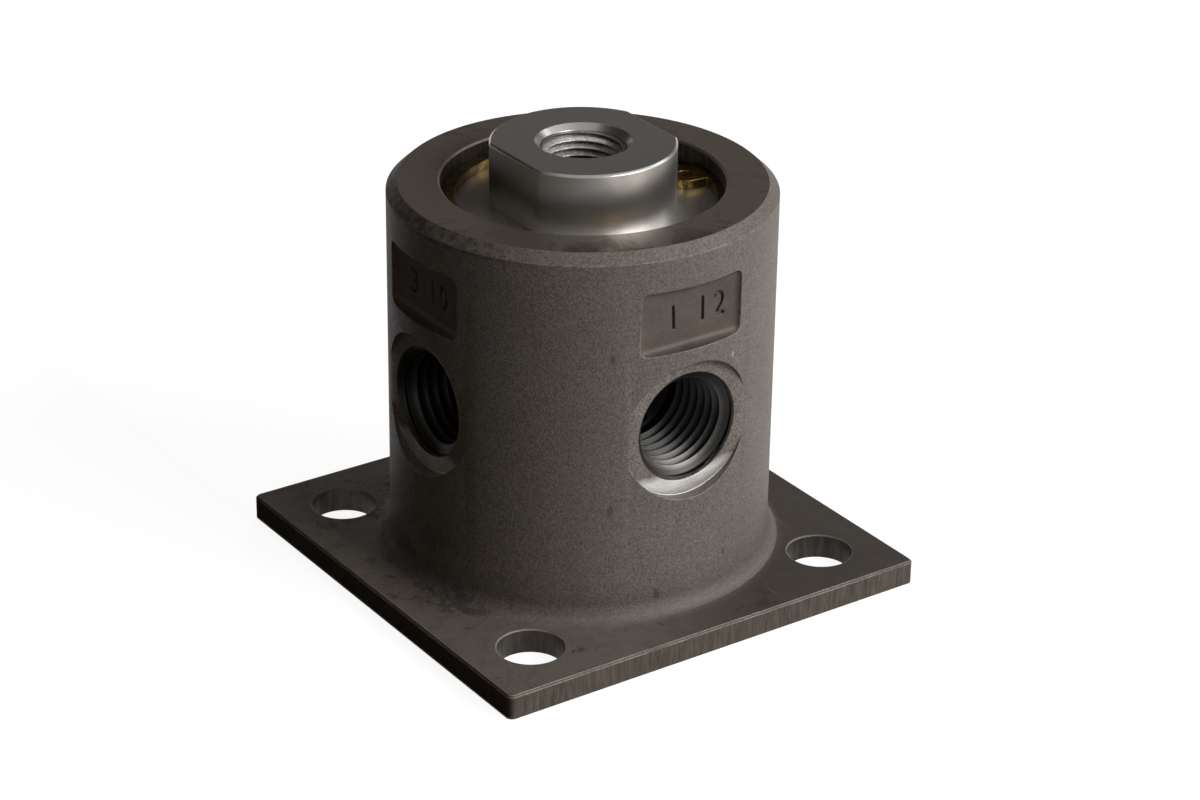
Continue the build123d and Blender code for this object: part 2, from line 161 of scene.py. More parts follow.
class Value:
    """A socket that adds Math nodes when it is used in an expression."""

    def __init__(self, finish, socket):
        self.finish = finish
        self.socket = socket

    def maths(self, operation, *numbers):
        return self.finish.node("ShaderNodeMath", {"operation": operation}, dict(enumerate(numbers)))

    def __add__(self, other):
        return self.maths("ADD", self, other)

    def __sub__(self, other):
        return self.maths("SUBTRACT", self, other)

    def __mul__(self, other):
        return self.maths("MULTIPLY", self, other)

    def __truediv__(self, other):
        return self.maths("DIVIDE", self, other)

    def __radd__(self, other):
        return self.maths("ADD", other, self)

    def __rsub__(self, other):
        return self.maths("SUBTRACT", other, self)

    def __rmul__(self, other):
        return self.maths("MULTIPLY", other, self)

    def __pow__(self, other):
        return self.maths("POWER", self, other)

    def __gt__(self, other):
        return self.maths("GREATER_THAN", self, other)

    def __lt__(self, other):
        return self.maths("LESS_THAN", self, other)

    def root(self):
        return self.maths("SQRT", self)

    def size(self):
        return self.maths("ABSOLUTE", self)

    def clamped(self):
        return self.finish.node("ShaderNodeClamp", {}, {"Value": self})


class Finish:
    """A node material with a Principled shader, and shorthand for the nodes that feed it."""

    def __init__(self, name, **constants):
        self.material = bpy.data.materials.new(name)
        self.material.use_nodes = True
        self.tree = self.material.node_tree
        self.shader = self.tree.nodes["Principled BSDF"]
        self.feed(self.shader, constants)
        self.place = self.node("ShaderNodeTexCoord", output="Object")

    def feed(self, node, inputs):
        for key, value in inputs.items():
            socket = node.inputs[key]
            if isinstance(value, Value):
                self.tree.links.new(value.socket, socket)
            else:
                socket.default_value = (*value, 1) if hasattr(value, "__len__") and len(socket.default_value) == 4 else value

    def node(self, kind, settings=None, inputs=None, output=0):
        """Any node, by its type, its settings and the values or links of its sockets."""
        node = self.tree.nodes.new(kind)
        for key, value in (settings or {}).items():
            if key == "stops":
                ramp = node.color_ramp
                while len(ramp.elements) < len(value):
                    ramp.elements.new(1)
                for element, (position, shade) in zip(ramp.elements, value):
                    element.position = position
                    element.color = (*shade, 1) if hasattr(shade, "__len__") else (shade, shade, shade, 1)
            else:
                setattr(node, key, value)
        self.feed(node, inputs or {})
        return Value(self, node.outputs[output])

    def axes(self, turned=None):
        """The three coordinates of a place."""
        place = turned or self.place
        return [self.node("ShaderNodeSeparateXYZ", inputs={0: place}, output=axis) for axis in range(3)]

    def moved(self, location=(0, 0, 0), scale=(1, 1, 1), rotation=(0, 0, 0)):
        """Object coordinates, shifted, turned and scaled."""
        return self.node("ShaderNodeMapping", {}, {0: self.place, "Location": location, "Rotation": rotation, "Scale": scale})

    def noise(self, size, detail=2, roughness=0.5, distortion=0, place=None):
        """Cloudy noise, with clouds about as large as the size."""
        inputs = {0: place or self.place, "Scale": 1 / size, "Detail": detail, "Roughness": roughness, "Distortion": distortion}
        return self.node("ShaderNodeTexNoise", {}, inputs)

    def grains(self, size, output="Distance", feature="F1", place=None):
        """Voronoi cells, about as large as the size."""
        return self.node("ShaderNodeTexVoronoi", {"feature": feature}, {0: place or self.place, "Scale": 1 / size}, output=output)

    def ramp(self, value, *stops):
        """A colour or a number that changes with a value."""
        return self.node("ShaderNodeValToRGB", {"stops": stops}, {0: value})

    def band(self, value, low, high, start=0.0, end=1.0):
        """A number that goes evenly from start to end while the value goes from low to high."""
        inputs = {"Value": value, "From Min": low, "From Max": high, "To Min": start, "To Max": end}
        return self.node("ShaderNodeMapRange", {"clamp": True}, inputs)

    def mix(self, share, first, second, blend="MIX"):
        """A mix of two colours."""
        settings = {"data_type": "RGBA", "blend_type": blend, "clamp_factor": True}
        return self.node("ShaderNodeMix", settings, {0: share, 6: first, 7: second}, output=2)

    def bump(self, height, distance, strength=1.0, normal=None):
        """Relief of a given depth."""
        inputs = {"Height": height, "Distance": distance, "Strength": strength}
        if normal:
            inputs["Normal"] = normal
        return self.node("ShaderNodeBump", {}, inputs)

    def rounded(self, radius):
        """A normal that rounds sharp edges."""
        return self.node("ShaderNodeBevel", {"samples": 6}, {"Radius": radius})

    def edges(self, radius):
        """A mask of sharp edges, 1 on the edge."""
        sharp = self.node("ShaderNodeNewGeometry", output="Normal")
        facing = self.node("ShaderNodeVectorMath", {"operation": "DOT_PRODUCT"}, {0: sharp, 1: self.rounded(radius)}, output="Value")
        return self.band(facing, 0.995, 0.93)

    def spot(self, centre, radius, ragged):
        """A mask of one small ragged mark, upright and about as wide as its radius."""
        off = [(axis - middle) * share for axis, middle, share in zip(self.axes(), centre, (1, 1, 0.6))]
        away = (off[0] * off[0] + off[1] * off[1] + off[2] * off[2]).root()
        return self.band(away + (ragged - 0.5) * radius * 1.6, radius, radius * 0.6)

    def finish(self, **inputs):
        self.feed(self.shader, inputs)
        return self.material


def settings(name):
    """One of the groups of sizes and colours."""
    return getattr(bpy.context.scene, name)


def deselect():
    if bpy.context.object and bpy.context.object.mode != "OBJECT":
        bpy.ops.object.mode_set(mode="OBJECT")
    bpy.ops.object.select_all(action="DESELECT")


def take(piece):
    """Makes a piece the one selected and active object."""
    deselect()
    piece.select_set(True)
    bpy.context.view_layer.objects.active = piece
    return piece


def apply_modifier(piece, name, kind, **values):
    take(piece)
    modifier = piece.modifiers.new(name, kind)
    for key, value in values.items():
        setattr(modifier, key, value)
    bpy.ops.object.modifier_apply(modifier=name)


def merged_copy(node, name):
    """A copy of a solid's mesh with its triangles joined, as a new piece."""
    piece = bpy.data.objects.new(name, NODES[node].data.copy())
    bpy.context.scene.collection.objects.link(piece)
    take(piece)
    bpy.ops.mesh.customdata_custom_splitnormals_clear()
    bpy.ops.object.mode_set(mode="EDIT")
    bpy.ops.mesh.select_all(action="SELECT")
    bpy.ops.mesh.remove_doubles(threshold=1e-6)
    bpy.ops.object.mode_set(mode="OBJECT")
    return piece


def smooth(piece, angle=35):
    take(piece)
    bpy.ops.object.shade_smooth_by_angle(angle=math.radians(angle))


def dress(piece, body, slot, *materials):
    """Gives a finished piece its body and its materials; its slot is not used."""
    piece.data.materials.clear()
    for material in materials:
        piece.data.materials.append(material)
    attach(piece, body)


def outward(mount):
    return Vector(MOUNTS[mount]["axis"])


def port_frame(mount):
    """Matrix with its z along a port's axis, its y upright and its origin on the valve's centre line."""
    out = outward(mount)
    up = Vector((0, 0, 1)) if abs(out.z) < 0.5 else Vector((0, 1, 0))
    side = up.cross(out)
    centre = Vector(MOUNTS[mount]["pos_m"])
    centre -= out * centre.dot(out)
    return Matrix.Translation(centre) @ Matrix((side, up, out)).transposed().to_4x4()


def thread_piece(name, mount, pitch, depth, reach, body, slot, material):
    """Internal pipe thread: one tooth is screwed round, trimmed, tapered and closed by a wall that lines the bore."""
    threads = settings("valve_threads")
    bore = MOUNTS[mount]["dims"]["r_mm"] / 1000
    wall = bore - threads.wall_gap
    root = wall - 0.00002
    crest = root - depth
    length = reach
    flat = pitch / 8
    flank = pitch / 2 - flat
    soft = flat * 0.5
    deselect()
    bpy.ops.mesh.primitive_plane_add(size=pitch, location=(root - soft, 0, 0))
    piece = bpy.context.object
    piece.name = name
    bpy.ops.object.transform_apply(location=True)
    bpy.ops.object.mode_set(mode="EDIT")
    bpy.ops.mesh.select_all(action="SELECT")
    bpy.ops.mesh.merge(type="CENTER")
    radius = root - soft
    heights = [flat * 0.25, flat * 0.25, flat * 0.5, flat * 0.25, flank - flat * 0.5, flat * 0.25, flat * 0.5, flat * 0.25]
    radii = [root - soft * 0.3, root, root, root - soft * 0.3, crest + soft * 0.6, crest, crest, crest + soft * 0.6]
    steps = list(zip(radii, heights))
    steps.append((root - soft, pitch - sum(heights)))
    for next_radius, rise in steps:
        bpy.ops.mesh.extrude_region_move(TRANSFORM_OT_translate={"value": (next_radius - radius, 0, rise)})
        radius = next_radius
    bpy.ops.object.mode_set(mode="OBJECT")
    turns = int(length / pitch) + 4
    apply_modifier(
        piece, "Screw", "SCREW", screw_offset=pitch, iterations=turns, steps=threads.steps, render_steps=threads.steps,
        use_merge_vertices=True, use_smooth_shade=False,
    )
    piece.data.transform(Matrix.Translation((0, 0, -2 * pitch)))
    bpy.ops.object.mode_set(mode="EDIT")
    bpy.ops.mesh.select_all(action="SELECT")
    bpy.ops.mesh.remove_doubles(threshold=1e-6)
    bpy.ops.mesh.select_all(action="SELECT")
    bpy.ops.mesh.bisect(plane_co=(0, 0, 0), plane_no=(0, 0, 1), clear_inner=True)
    bpy.ops.mesh.select_all(action="SELECT")
    bpy.ops.mesh.bisect(plane_co=(0, 0, length), plane_no=(0, 0, 1), clear_outer=True)
    bpy.ops.object.mode_set(mode="OBJECT")
    mesh = piece.data
    for vertex in mesh.vertices:
        radial = vertex.co.xy.length
        depth_in = length - vertex.co.z
        tapered = radial - depth_in * threads.taper / 2
        vertex.co.xy *= max(tapered, root - depth_in * threads.mouth_slope) / radial
    close_tube(piece, wall)
    place = port_frame(mount)
    start = Vector(MOUNTS[mount]["pos_m"]).dot(outward(mount)) - length
    mesh.transform(place @ Matrix.Translation((0, 0, start)))
    smooth(piece, 40)
    dress(piece, body, slot, material)
    return piece


def close_tube(piece, wall):
    """Takes both open rims of a tube out to a plain outer wall and joins them."""
    take(piece)
    bpy.ops.object.mode_set(mode="EDIT")
    bpy.ops.mesh.select_mode(type="EDGE")
    bpy.ops.mesh.select_all(action="DESELECT")
    bpy.ops.mesh.select_non_manifold(extend=False, use_wire=False, use_multi_face=False, use_non_contiguous=False, use_verts=False)
    bpy.ops.mesh.extrude_edges_move(TRANSFORM_OT_translate={"value": (0, 0, 0)})
    bpy.ops.object.mode_set(mode="OBJECT")
    for vertex in piece.data.vertices:
        if vertex.select:
            vertex.co.xy = vertex.co.xy.normalized() * wall
    bpy.ops.object.mode_set(mode="EDIT")
    bpy.ops.mesh.bridge_edge_loops()
    bpy.ops.mesh.select_all(action="SELECT")
    bpy.ops.mesh.normals_make_consistent(inside=False)
    bpy.ops.mesh.select_mode(type="VERT")
    bpy.ops.object.mode_set(mode="OBJECT")


def stamped_number(mount, digits, sizes):
    """Cutter in the shape of the digits, placed in one port's label window."""
    cutters = []
    for digit, across, lift, lean in digits:
        deselect()
        bpy.ops.object.text_add()
        text = bpy.context.object
        text.data.body = digit
        text.data.align_x = "CENTER"
        text.data.align_y = "CENTER"
        text.data.size = sizes.digit_height / 0.69
        text.data.extrude = sizes.digit_depth
        text.data.offset = sizes.digit_weight
        text.data.resolution_u = 6
        bpy.ops.object.convert(target="MESH")
        text = bpy.context.object
        mesh = text.data
        mesh.transform(Matrix.Diagonal((sizes.digit_width, 1, 1, 1)))
        mesh.transform(Matrix.Translation((across, lift, 0)) @ Matrix.Rotation(math.radians(lean), 4, "Z"))
        cutters.append(text)
    for text in cutters:
        text.select_set(True)
    bpy.context.view_layer.objects.active = cutters[0]
    bpy.ops.object.join()
    cutter = bpy.context.object
    middle = (WINDOW_TOP + WINDOW_BOTTOM) / 2 - MOUNTS[mount]["pos_m"][2]
    cutter.data.transform(port_frame(mount) @ Matrix.Translation((0, middle, WINDOW_FLOOR)))
    bpy.ops.object.mode_set(mode="EDIT")
    bpy.ops.mesh.select_all(action="SELECT")
    bpy.ops.mesh.remove_doubles(threshold=1e-6)
    bpy.ops.mesh.select_all(action="SELECT")
    bpy.ops.mesh.normals_make_consistent(inside=False)
    bpy.ops.object.mode_set(mode="OBJECT")
    return cutter


def casting_zone(centre, normal):
    """Which finish a face of the casting has, from its place."""
    radius = centre.xy.length
    reach = max(abs(centre.x), abs(centre.y))
    if reach > 0.0298:
        return 4
    if centre.z < FLANGE_TOP + 0.0002 and radius > 0.0135:
        near_hole = (Vector((abs(centre.x), abs(centre.y))) - Vector((0.0217, 0.0217))).length < 0.0044
        return 2 if near_hole and abs(normal.z) < 0.3 else 3
    for mount in PORTS:
        place = port_frame(mount).inverted() @ centre
        if place.z > 0.007 and place.xy.length < SPOTFACE_RADIUS + 0.00005 and radius < COLUMN_RADIUS - 0.00005:
            if place.z > SPOTFACE_REACH - 0.00005:
                return 6 if abs(normal.dot(outward(mount))) > 0.9 else 0
            return 2
        above = centre.z - WINDOW_BOTTOM
        inside = abs(place.x) < WINDOW_HALF_WIDTH + 0.00005 and -0.00005 < above < WINDOW_TOP - WINDOW_BOTTOM + 0.00005
        if inside and place.z > WINDOW_FLOOR - 0.0006 and radius < COLUMN_RADIUS - 0.00005:
            return 5
    if centre.z > 0.0507 or radius < 0.0190:
        return 1 if centre.z > 0.0500 else 2
    return 0


def blasted_casting(name, colours, grain=1.0, marks=1.0):
    """Bead-blasted aluminium: a fine sparkling grain with dull clouds and handling marks, more smudges low on the left,
    painted shade on the chamfer's left part and in the fillet, and a painted highlight along the bottom of the fillet.
    """
    finish = Finish(name, **{"Metallic": 0.12, "Specular IOR Level": 0.25})
    x, y, z = finish.axes()
    sparkle = finish.grains(0.00019, output="Color")
    fine = finish.noise(0.00030, detail=3, roughness=0.7)
    coarse = finish.noise(0.0011, detail=3, roughness=0.6)
    clouds = finish.noise(0.011, detail=4, roughness=0.6)
    speckle = finish.band(sparkle * 0.55 + fine * 0.75, 0.35, 0.95)
    tone = finish.mix(speckle, tuple(colours.casting_dark), tuple(colours.casting_light))
    tone = finish.mix(1 - 0.75 * grain, tone, tuple(colours.casting))
    tone = finish.mix(finish.band(clouds, 0.35, 0.70) * 0.30, tone, tuple(c * 0.75 for c in colours.casting))
    smudge = finish.noise(0.0055, detail=6, roughness=0.72, distortion=0.6)
    spots = finish.band(smudge, 0.645, 0.72) * marks
    left = finish.band(x * FRONT_ASIDE[0] + y * FRONT_ASIDE[1], -0.004, -0.014)
    low = finish.band(z, 0.013, 0.005) * finish.band(smudge, 0.50, 0.60) * left
    tone = finish.mix((spots * 0.45 + low * 0.8 * marks).clamped(), tone, tuple(colours.grime_and_shade))
    rim_shade = finish.band(z, 0.0488, 0.0494) * left
    tone = finish.mix(rim_shade * (0.25 + finish.band(coarse, 0.45, 0.60) * 0.6), tone, tuple(colours.grime_and_shade))
    # Painted shade: darker in the fillet at the bottom of the column
    tone = finish.mix(finish.band(z, 0.0085, 0.0045) * 0.40, tone, tuple(colours.casting_dark))
    # Painted highlight: a thin light line along the bottom of the fillet, away from the left side
    painted_foot_highlight = finish.band(z, 0.0040, 0.0036) * finish.band(left, 0.7, 0.2)
    tone = finish.mix(painted_foot_highlight * 0.22, tone, tuple(colours.casting_light))
    for centre, radius in DARK_MARKS:
        tone = finish.mix(finish.spot(centre, radius, coarse) * 0.55, tone, tuple(colours.grime_and_shade))
    for centre, radius in NICKS:
        tone = finish.mix(finish.spot(centre, radius, coarse) * 0.7, tone, tuple(c * 1.7 for c in colours.casting_light))
    worn = finish.edges(0.0002) * finish.band(coarse, 0.40, 0.60) * 0.7
    tone = finish.mix(worn, tone, tuple(c * 1.7 for c in colours.casting_light))
    rough = finish.band(fine, 0.3, 0.7, 0.44, 0.62) + clouds * 0.06
    relief = finish.bump(coarse * 0.12 + fine * 0.8 + sparkle * 0.30, 0.00009, 0.8 * grain, finish.rounded(0.00025))
    return finish.finish(**{"Base Color": tone, "Roughness": rough, "Normal": relief})


def bright_spotface(name, colours):
    """Spotface round a port: blasted like the casting, with a crescent cut clean below the port whose bright colour is
    a painted highlight.
    """
    finish = Finish(name, **{"Specular IOR Level": 0.25})
    x, y, z = finish.axes()
    fine = finish.noise(0.00030, detail=3, roughness=0.7)
    sparkle = finish.grains(0.00019, output="Color")
    clouds = finish.noise(0.0028, detail=3)
    drop = MOUNTS["outlet"]["pos_m"][2] - z + clouds * 0.0016
    # Painted highlight: only the lower part of the spotface, which faces up to the light, is clean and bright
    crescent = finish.band(drop, 0.0060, 0.0072)
    grain = finish.band(sparkle * 0.55 + fine * 0.75, 0.35, 0.95)
    blasted = finish.mix(grain, tuple(colours.casting_dark), tuple(colours.casting_light))
    clean = finish.mix(finish.band(clouds, 0.40, 0.62) * 0.4, tuple(colours.spotface_cut_and_highlight), tuple(c * 0.6 for c in colours.spotface_cut_and_highlight))
    tone = finish.mix(crescent, blasted, clean)
    relief = finish.bump(fine, 0.00006, 0.7, finish.rounded(0.0002))
    return finish.finish(**{"Base Color": tone, "Metallic": 0.12 + crescent * 0.68, "Roughness": 0.48 - crescent * 0.08, "Normal": relief})


def machined_face(name, colours):
    """Turned casting: concentric lines, scratches and dark smears towards the rim."""
    finish = Finish(name, Metallic=0.75)
    x, y, z = finish.axes()
    radius = (x * x + y * y).root()
    lines = finish.node("ShaderNodeTexNoise", {"noise_dimensions": "1D"}, {"W": radius * 9000, "Scale": 1, "Detail": 3})
    scratches = finish.noise(0.0006, detail=2, place=finish.moved(scale=(1, 0.06, 1), rotation=(0, 0, 0.6)))
    fine = finish.noise(0.0003, detail=3, roughness=0.7)
    smear = finish.noise(0.006, detail=5, roughness=0.7, distortion=0.8)
    rim = finish.band(radius, 0.0196, 0.0224)
    tone = finish.mix(finish.band(lines, 0.3, 0.7) * 0.4, tuple(colours.machined), tuple(c * 0.7 for c in colours.machined))
    tone = finish.mix(finish.band(fine, 0.35, 0.7) * 0.35, tone, tuple(c * 1.45 for c in colours.machined))
    front = finish.band(y + x * 0.4, -0.012, -0.020)
    dirt = (finish.band(smear + front * 0.05, 0.54, 0.66) * (0.20 + rim * 0.5 + front * 0.35)).clamped()
    tone = finish.mix(dirt * 0.75, tone, tuple(colours.grime_and_shade))
    tone = finish.mix(finish.band(scratches, 0.68, 0.76) * 0.35, tone, tuple(c * 1.9 for c in colours.machined))
    rough = 0.34 + lines * 0.14 + dirt * 0.2
    relief = finish.bump(lines * 0.5 + scratches * 0.3 + fine * 0.5, 0.00002, 0.6, finish.rounded(0.00015))
    return finish.finish(**{"Base Color": tone, "Roughness": rough, "Normal": relief})


def drilled_metal(name, colours):
    """Drilled and bored aluminium: painted shade, black deep inside, plain in the flange's holes."""
    finish = Finish(name, **{"Metallic": 0.5, "Specular IOR Level": 0.1})
    x, y, z = finish.axes()
    fine = finish.noise(0.0005, detail=4, roughness=0.65)
    stain = finish.noise(0.004, detail=3)
    streaks = finish.noise(0.0008, detail=3, place=finish.moved(scale=(1, 1, 0.1)))
    tone = finish.mix(finish.band(stain, 0.4, 0.65) * 0.6, tuple(c * 0.42 for c in colours.casting), tuple(c * 0.16 for c in colours.casting))
    tone = finish.mix(finish.band(streaks, 0.45, 0.7) * 0.5, tone, tuple(c * 0.95 for c in colours.casting))
    # Painted shade: black deep inside the chamber
    deep = finish.band((x * x + y * y).root(), 0.0145, 0.0115) * finish.band(z, 0.040, 0.036)
    tone = finish.mix(deep, tone, (0.003, 0.003, 0.003))
    return finish.finish(**{"Base Color": tone, "Roughness": 0.36 + fine * 0.2, "Normal": finish.bump(fine, 0.00003, 0.6)})


def thread_metal(name, shade, roughness, reach):
    """Tapped thread: painted shade in the dark roots and darker the deeper it lies, which leaves the crests bright."""
    finish = Finish(name, Metallic=0.60)
    x, y, z = finish.axes()
    root, deep = reach(finish, x, y, z)
    fine = finish.noise(0.0004, detail=4, roughness=0.6)
    base = tuple(shade)
    tone = finish.mix(finish.band(fine, 0.35, 0.7), tuple(c * 0.75 for c in base), tuple(min(1, c * 1.25) for c in base))
    # Painted shade in the thread roots and deep in the port
    tone = finish.mix(root * 0.95, tone, tuple(c * 0.10 for c in base))
    tone = finish.mix(deep * 0.95, tone, tuple(c * 0.06 for c in base))
    relief = finish.bump(fine, 0.00002, 0.5, finish.rounded(0.0001))
    return finish.finish(**{"Base Color": tone, "Roughness": roughness + fine * 0.15, "Normal": relief})


def side_port_reach(finish, x, y, z):
    """Masks of painted shade in a side port: its thread roots, and its depth with its upper part, from the distances to
    its axis and its mouth.
    """
    across = x.size().maths("MINIMUM", x.size(), y.size())
    along = x.size().maths("MAXIMUM", x.size(), y.size())
    lift = z - MOUNTS["outlet"]["pos_m"][2]
    radius = (across * across + lift * lift).root()
    taper = (SPOTFACE_REACH - along) * 0.03125
    # Painted shade: the upper part of the port darker
    shade = finish.band(lift, -0.0058, -0.0010, 0.0, 0.55)
    inner = finish.band(along, 0.0212, 0.0163)
    return finish.band(radius + taper, 0.00565, 0.00630), (inner + shade).clamped()


def pilot_port_reach(finish, x, y, z):
    """The same masks of painted shade for the pilot port."""
    radius = (x * x + y * y).root()
    taper = (MOUNTS["pilot_port"]["pos_m"][2] - z) * 0.03125
    return finish.band(radius + taper, 0.00475, 0.0051), finish.band(z, 0.0535, 0.0490)


def rolled_flange(name, colours):
    """Satin flange face: fine blasted grain, short scratches and dark handling marks, with painted shade towards the
    right and a painted shadow of the column on the left.
    """
    finish = Finish(name, **{"Metallic": 0.25, "Specular IOR Level": 0.3})
    x, y, z = finish.axes()
    fine = finish.noise(0.00028, detail=3, roughness=0.7)
    patchy = finish.noise(0.0018, detail=4, roughness=0.7)
    clouds = finish.noise(0.012, detail=4, roughness=0.6)
    scratches = finish.noise(0.0012, detail=3, place=finish.moved(scale=(1, 0.08, 1), rotation=(0, 0, -0.5)))
    smudge = finish.noise(0.005, detail=6, roughness=0.75, distortion=0.5)
    aside = x * FRONT_ASIDE[0] + y * FRONT_ASIDE[1]
    grain = finish.band(fine, 0.32, 0.70) * 0.7
    tone = finish.mix(grain, tuple(c * 0.95 for c in colours.casting), tuple(c * 1.62 for c in colours.casting))
    # Painted shade: darker towards the right side
    tone = finish.mix(finish.band(aside, 0.006, 0.024) * 0.95, tone, tuple(c * 0.38 for c in colours.casting))
    tone = finish.mix(finish.band(patchy, 0.45, 0.70) * 0.45, tone, tuple(c * 0.60 for c in colours.casting))
    # Clouds, denser towards +x as painted shade
    tone = finish.mix(finish.band(clouds + x * 4, 0.42, 0.72) * 0.45, tone, tuple(c * 0.62 for c in colours.casting))
    tone = finish.mix(finish.band(scratches, 0.66, 0.74) * 0.3, tone, tuple(colours.casting_light))
    # Smudges, with a painted shadow of the column close to it on the left side
    foot = finish.band((x * x + y * y).root(), 0.033, 0.0265)
    left = finish.band(aside, 0.002, -0.010)
    tone = finish.mix(finish.band(smudge + foot * left * 0.07 + left * 0.02, 0.60, 0.67) * 0.65, tone, tuple(colours.grime_and_shade))
    tone = finish.mix(finish.edges(0.0002) * 0.85, tone, tuple(c * 2.0 for c in colours.casting_light))
    relief = finish.bump(fine + scratches * 0.4 + patchy * 0.5, 0.00005, 0.7, finish.rounded(0.00015))
    return finish.finish(**{"Base Color": tone, "Roughness": 0.42 + fine * 0.2, "Normal": relief})


def sheared_edge(name, colours):
    """Sawn flange edge: fine upright tool marks, a bright broken corner and painted shade on the left side."""
    finish = Finish(name, **{"Metallic": 0.10, "Specular IOR Level": 0.25})
    x, y, z = finish.axes()
    marks = finish.noise(0.00036, detail=4, roughness=0.8, place=finish.moved(scale=(1, 1, 0.10)))
    patches = finish.noise(0.004, detail=3)
    fine = finish.noise(0.0002, detail=2)
    brown = tuple(c * share for c, share in zip(colours.casting, (1.0, 0.93, 0.83)))
    tone = finish.mix(finish.band(marks, 0.34, 0.66), tuple(c * 0.26 for c in brown), tuple(c * 0.84 for c in brown))
    tone = finish.mix(finish.band(patches, 0.45, 0.65) * 0.35, tone, tuple(c * 0.45 for c in brown))
    # Painted shade: the left side darker
    tone = finish.mix(finish.band(x, -0.0296, -0.0300) * 0.30, tone, tuple(c * share for c, share in zip(colours.grime_and_shade, (1.0, 0.8, 0.6))))
    bright = finish.edges(0.0002) * finish.band(z, 0.0015, 0.0025) * (0.25 + finish.band(patches, 0.35, 0.55) * 0.6)
    tone = finish.mix(bright, tone, tuple(c * 2.2 for c in colours.casting_light))
    relief = finish.bump(marks + fine * 0.4, 0.00006, 0.8)
    return finish.finish(**{"Base Color": tone, "Roughness": 0.38 + fine * 0.2, "Normal": relief})


def cast_recess(name, colours):
    """As-cast pocket: smoother than the outside, brownish, with soft clouds."""
    finish = Finish(name, **{"Metallic": 0.10, "Specular IOR Level": 0.25})
    fine = finish.noise(0.00045, detail=3, roughness=0.6)
    clouds = finish.noise(0.0035, detail=4)
    tone = finish.mix(finish.band(clouds, 0.35, 0.7), tuple(colours.recess), tuple(c * 0.72 for c in colours.recess))
    tone = finish.mix(finish.band(fine, 0.45, 0.75) * 0.35, tone, tuple(c * 1.5 for c in colours.recess))
    relief = finish.bump(fine, 0.00003, 0.6, finish.rounded(0.00035))
    return finish.finish(**{"Base Color": tone, "Roughness": 0.44 + fine * 0.15, "Normal": relief})


def zinc_plate(name, colours):
    """Zinc plated turned steel: glossy sides, satin end faces, tiny pits and worn corners, with painted shade on the
    end faces and a painted dark reflection on the boss's side above its base.
    """
    finish = Finish(name, Metallic=0.95)
    x, y, z = finish.axes()
    radius = (x * x + y * y).root()
    rings = finish.node("ShaderNodeTexNoise", {"noise_dimensions": "1D"}, {"W": radius * 7000 + z * 9000, "Scale": 1, "Detail": 4})
    haze = finish.noise(0.004, detail=4, roughness=0.6)
    pits = finish.band(finish.noise(0.0007, detail=2, roughness=0.4), 0.74, 0.78)
    fine = finish.noise(0.0002, detail=2)
    level = finish.axes(finish.node("ShaderNodeNewGeometry", output="Normal"))[2] > 0.9
    tone = finish.mix(finish.band(rings, 0.3, 0.7) * (0.12 + level * 0.2), tuple(colours.zinc), tuple(c * 0.72 for c in colours.zinc))
    tone = finish.mix(finish.band(haze, 0.4, 0.7) * 0.15, tone, tuple(c * 0.75 for c in colours.zinc))
    corner = finish.edges(0.00015)
    tone = finish.mix(corner * 0.3, tone, tuple(min(1, c * 1.6) for c in colours.zinc))
    tone = finish.mix(corner * finish.band(x, -0.0080, -0.0088) * 0.8, tone, (0.42, 0.22, 0.12))
    # Painted shade: the boss's top face darker
    tone = finish.mix(level * finish.band(z, 0.0545, 0.0550) * 0.6, tone, tuple(c * 0.45 for c in colours.zinc))
    # Painted shade: the cap's face round the boss darker
    cap_face_shade = level * finish.band(z, 0.0490, 0.0485)
    tone = finish.mix(cap_face_shade * 0.5, tone, tuple(c * 0.6 for c in colours.zinc))
    # Painted reflection: the boss's side darker above its base
    painted_dark_reflection = finish.band(z, 0.0490, 0.0520) * (1 - level)
    tone = finish.mix(painted_dark_reflection * 0.5, tone, tuple(c * 0.45 for c in colours.zinc))
    tone = finish.mix(pits * 0.6, tone, (0.62, 0.60, 0.56))
    rough = 0.26 + haze * 0.03 + rings * 0.02 + level * 0.10
    relief = finish.bump(rings * 0.08 + fine * 0.1 - pits * 0.3, 0.000003, 0.4, finish.rounded(0.00015))
    return finish.finish(**{"Base Color": tone, "Roughness": rough, "Normal": relief})


def yellow_plate(name, colours):
    """Yellow passivated spring steel: brown in the shade, bright gold patches painted as glints, faint green patches.
    """
    finish = Finish(name, Metallic=0.90)
    patch = finish.noise(0.0024, detail=4, roughness=0.65, distortion=0.5)
    fine = finish.noise(0.0003, detail=3)
    gold = tuple(colours.yellow_zinc)
    brown = tuple(c * share for c, share in zip(gold, (0.35, 0.28, 0.25)))
    green = tuple(c * share for c, share in zip(gold, (0.75, 0.95, 0.90)))
    # The brightest gold stop is a painted glint
    tone = finish.ramp(patch, (0.36, brown), (0.50, tuple(c * 0.6 for c in gold)), (0.58, green), (0.68, tuple(c * 1.7 for c in gold)))
    tone = finish.mix(finish.band(fine, 0.5, 0.8) * 0.4, tone, (0.05, 0.03, 0.015))
    relief = finish.bump(fine + patch * 0.6, 0.00004, 0.7, finish.rounded(0.0003))
    return finish.finish(**{"Base Color": tone, "Roughness": 0.20 + fine * 0.2, "Normal": relief})


def plain_finish(name, shade, metallic, roughness, grain, depth, spread=0.3):
    """A finish with one fine grain, for the pieces inside."""
    finish = Finish(name, Metallic=metallic)
    fine = finish.noise(grain, detail=3, roughness=0.6)
    cloud = finish.noise(grain * 12, detail=3)
    tone = finish.mix(finish.band(fine, 0.3, 0.7) * spread * 2, tuple(shade), tuple(c * (1 - spread) for c in shade))
    tone = finish.mix(finish.band(cloud, 0.4, 0.7) * 0.4, tone, tuple(min(1, c * 1.25) for c in shade))
    return finish.finish(**{"Base Color": tone, "Roughness": roughness + fine * 0.15, "Normal": finish.bump(fine, depth, 0.6)})


